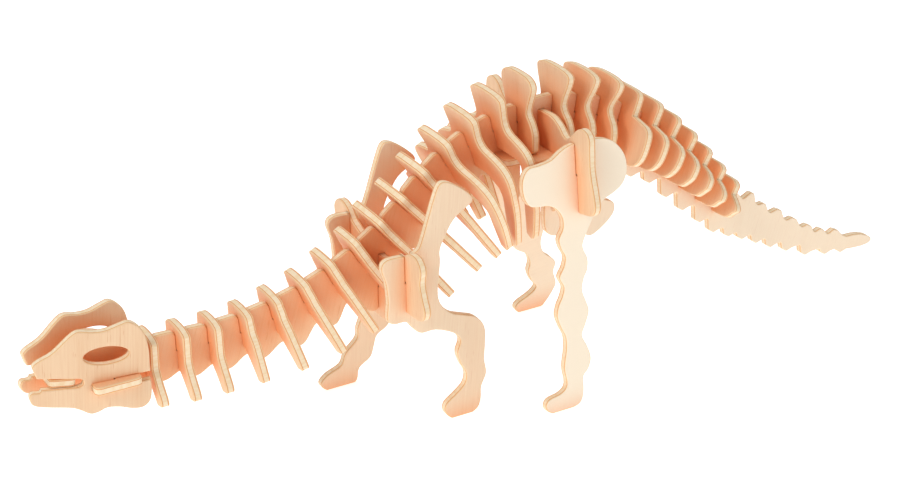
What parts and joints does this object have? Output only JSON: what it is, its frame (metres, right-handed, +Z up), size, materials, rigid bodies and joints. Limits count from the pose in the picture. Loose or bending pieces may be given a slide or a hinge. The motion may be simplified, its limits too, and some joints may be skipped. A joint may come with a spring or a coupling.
{
  "type": "wooden 3d jigsaw model",
  "caption": "Long-necked dinosaur skeleton puzzle of flat plywood plates: two spine plates, slotted cross ribs, skull sides and four legs held by half-lap slots.",
  "frame": {"origin": "centre of the bounding box on the ground plane the feet stand on", "axes": "+X from head to tail, +Z up, +Y to the side away from the viewer; the spine lies in the plane y = 0"},
  "size_m": [0.3514, 0.0766, 0.1155],
  "materials": {
    "plywood": "bare sanded three-ply"
  },
  "bodies": {
    "front_spine": {"body_spine": "plywood"},
    "belly_plate": {"belly_plate": "plywood"},
    "rear_spine": {"tail_spine": "plywood"},
    "head": {"cheek_plate": "plywood", "near_skull_side": "plywood", "far_skull_side": "plywood", "mouth_plate": "plywood"},
    "neck_rib_1": {"neck_rib_1": "plywood"},
    "neck_rib_2": {"neck_rib_2": "plywood"},
    "neck_rib_3": {"neck_rib_3": "plywood"},
    "neck_rib_4": {"neck_rib_4": "plywood"},
    "neck_rib_5": {"neck_rib_5": "plywood"},
    "neck_rib_6": {"neck_rib_6": "plywood"},
    "neck_rib_7": {"neck_rib_7": "plywood"},
    "neck_rib_8": {"neck_rib_8": "plywood"},
    "chest_rib_1": {"chest_rib_1": "plywood"},
    "chest_rib_2": {"chest_rib_2": "plywood"},
    "chest_rib_3": {"chest_rib_3": "plywood"},
    "chest_rib_4": {"chest_rib_4": "plywood"},
    "chest_rib_5": {"chest_rib_5": "plywood"},
    "chest_rib_6": {"chest_rib_6": "plywood"},
    "loin_rib": {"loin_rib": "plywood"},
    "hip_rib_1": {"hip_rib_1": "plywood"},
    "hip_rib_2": {"hip_rib_2": "plywood"},
    "hip_rib_3": {"hip_rib_3": "plywood"},
    "tail_rib_1": {"tail_rib_1": "plywood"},
    "tail_rib_2": {"tail_rib_2": "plywood"},
    "tail_rib_3": {"tail_rib_3": "plywood"},
    "tail_rib_4": {"tail_rib_4": "plywood"},
    "tail_rib_5": {"tail_rib_5": "plywood"},
    "tail_rib_6": {"tail_rib_6": "plywood"},
    "tail_rib_7": {"tail_rib_7": "plywood"},
    "shoulder_plate": {"shoulder_plate": "plywood"},
    "near_front_leg": {"near_front_leg": "plywood"},
    "far_front_leg": {"far_front_leg": "plywood"},
    "hip_plate": {"hip_plate": "plywood"},
    "near_hind_leg": {"near_hind_leg": "plywood"},
    "far_hind_leg": {"far_hind_leg": "plywood"}
  },
  "joints": [
    {"name": "head_off", "type": "slide", "parent": "front_spine", "child": "head", "axis": [-1, 0, 0], "range_m": [0, 0.026]},
    {"name": "belly_plate_off", "type": "slide", "parent": "front_spine", "child": "belly_plate", "axis": [1, 0, 0], "range_m": [0, 0.012]},
    {"name": "rear_spine_off", "type": "slide", "parent": "belly_plate", "child": "rear_spine", "axis": [1, 0, 0], "range_m": [0, 0.009]},
    {"name": "neck_rib_1_off", "type": "slide", "parent": "front_spine", "child": "neck_rib_1", "axis": [0, 0, 1], "range_m": [0, 0.026]},
    {"name": "neck_rib_2_off", "type": "slide", "parent": "front_spine", "child": "neck_rib_2", "axis": [0, 0, 1], "range_m": [0, 0.0275]},
    {"name": "neck_rib_3_off", "type": "slide", "parent": "front_spine", "child": "neck_rib_3", "axis": [-0.0175, 0, 0.9998], "range_m": [0, 0.029]},
    {"name": "neck_rib_4_off", "type": "slide", "parent": "front_spine", "child": "neck_rib_4", "axis": [-0.0872, 0, 0.9962], "range_m": [0, 0.0305]},
    {"name": "neck_rib_5_off", "type": "slide", "parent": "front_spine", "child": "neck_rib_5", "axis": [-0.2079, 0, 0.9781], "range_m": [0, 0.032]},
    {"name": "neck_rib_6_off", "type": "slide", "parent": "front_spine", "child": "neck_rib_6", "axis": [-0.342, 0, 0.9397], "range_m": [0, 0.0335]},
    {"name": "neck_rib_7_off", "type": "slide", "parent": "front_spine", "child": "neck_rib_7", "axis": [-0.4226, 0, 0.9063], "range_m": [0, 0.035]},
    {"name": "neck_rib_8_off", "type": "slide", "parent": "front_spine", "child": "neck_rib_8", "axis": [-0.4848, 0, 0.8746], "range_m": [0, 0.0365]},
    {"name": "chest_rib_1_off", "type": "slide", "parent": "front_spine", "child": "chest_rib_1", "axis": [-0.6157, 0, 0.788], "range_m": [0, 0.036]},
    {"name": "chest_rib_2_off", "type": "slide", "parent": "front_spine", "child": "chest_rib_2", "axis": [-0.6561, 0, 0.7547], "range_m": [0, 0.038]},
    {"name": "chest_rib_3_off", "type": "slide", "parent": "front_spine", "child": "chest_rib_3", "axis": [-0.5878, 0, 0.809], "range_m": [0, 0.042]},
    {"name": "chest_rib_4_off", "type": "slide", "parent": "front_spine", "child": "chest_rib_4", "axis": [-0.454, 0, 0.891], "range_m": [0, 0.046]},
    {"name": "chest_rib_5_off", "type": "slide", "parent": "front_spine", "child": "chest_rib_5", "axis": [-0.309, 0, 0.9511], "range_m": [0, 0.048]},
    {"name": "chest_rib_6_off", "type": "slide", "parent": "front_spine", "child": "chest_rib_6", "axis": [-0.2079, 0, 0.9781], "range_m": [0, 0.048]},
    {"name": "loin_rib_off", "type": "slide", "parent": "front_spine", "child": "loin_rib", "axis": [0, 0, 1], "range_m": [0, 0.018]},
    {"name": "hip_rib_1_off", "type": "slide", "parent": "rear_spine", "child": "hip_rib_1", "axis": [0.0523, 0, 0.9986], "range_m": [0, 0.046]},
    {"name": "hip_rib_2_off", "type": "slide", "parent": "rear_spine", "child": "hip_rib_2", "axis": [0.1564, 0, 0.9877], "range_m": [0, 0.036]},
    {"name": "hip_rib_3_off", "type": "slide", "parent": "rear_spine", "child": "hip_rib_3", "axis": [0.225, 0, 0.9744], "range_m": [0, 0.026]},
    {"name": "tail_rib_1_off", "type": "slide", "parent": "rear_spine", "child": "tail_rib_1", "axis": [0.2924, 0, 0.9563], "range_m": [0, 0.02]},
    {"name": "tail_rib_2_off", "type": "slide", "parent": "rear_spine", "child": "tail_rib_2", "axis": [0.3746, 0, 0.9272], "range_m": [0, 0.02]},
    {"name": "tail_rib_3_off", "type": "slide", "parent": "rear_spine", "child": "tail_rib_3", "axis": [0.4384, 0, 0.8988], "range_m": [0, 0.02]},
    {"name": "tail_rib_4_off", "type": "slide", "parent": "rear_spine", "child": "tail_rib_4", "axis": [0.454, 0, 0.891], "range_m": [0, 0.02]},
    {"name": "tail_rib_5_off", "type": "slide", "parent": "rear_spine", "child": "tail_rib_5", "axis": [0.454, 0, 0.891], "range_m": [0, 0.02]},
    {"name": "tail_rib_6_off", "type": "slide", "parent": "rear_spine", "child": "tail_rib_6", "axis": [0.4384, 0, 0.8988], "range_m": [0, 0.02]},
    {"name": "tail_rib_7_off", "type": "slide", "parent": "rear_spine", "child": "tail_rib_7", "axis": [0.4067, 0, 0.9135], "range_m": [0, 0.02]},
    {"name": "shoulder_plate_off", "type": "slide", "parent": "front_spine", "child": "shoulder_plate", "axis": [0, 0, -1], "range_m": [0, 0.034]},
    {"name": "near_front_leg_off", "type": "slide", "parent": "shoulder_plate", "child": "near_front_leg", "axis": [0, 0, -1], "range_m": [0, 0.022]},
    {"name": "far_front_leg_off", "type": "slide", "parent": "shoulder_plate", "child": "far_front_leg", "axis": [0, 0, -1], "range_m": [0, 0.022]},
    {"name": "hip_plate_off", "type": "slide", "parent": "rear_spine", "child": "hip_plate", "axis": [0, 0, -1], "range_m": [0, 0.034]},
    {"name": "near_hind_leg_off", "type": "slide", "parent": "hip_plate", "child": "near_hind_leg", "axis": [0, -0.1219, -0.9925], "range_m": [0, 0.028]},
    {"name": "far_hind_leg_off", "type": "slide", "parent": "hip_plate", "child": "far_hind_leg", "axis": [0, 0.1219, -0.9925], "range_m": [0, 0.028]}
  ]
}
